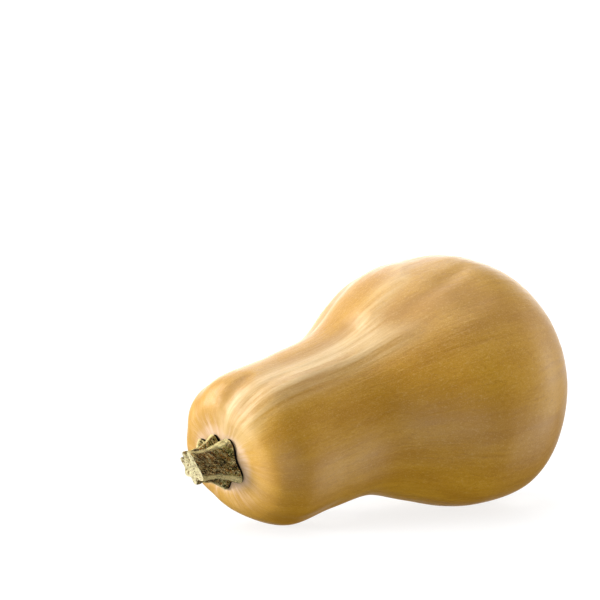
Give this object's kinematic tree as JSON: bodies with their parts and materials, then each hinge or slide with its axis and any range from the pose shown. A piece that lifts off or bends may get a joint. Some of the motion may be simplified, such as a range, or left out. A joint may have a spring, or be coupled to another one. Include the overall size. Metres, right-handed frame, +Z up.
{
  "type": "butternut squash",
  "caption": "A butternut squash lying on its side, with a round belly, a thick furrowed neck and a short, ridged, cut stem.",
  "frame": {"origin": "the middle of the underside of the bounding box, on the surface that the squash lies on", "axes": "+X from the stem towards the blossom end, +Z up, +Y to the left of someone who looks along +X"},
  "size_m": [0.2319, 0.1455, 0.1337],
  "materials": {
    "skin": "satin, waxy tan skin",
    "stem_bark": "rough dry stem, olive to brown, pale where it is cut"
  },
  "bodies": {
    "root": {"fruit": "skin", "stem": "stem_bark"}
  },
  "joints": []
}
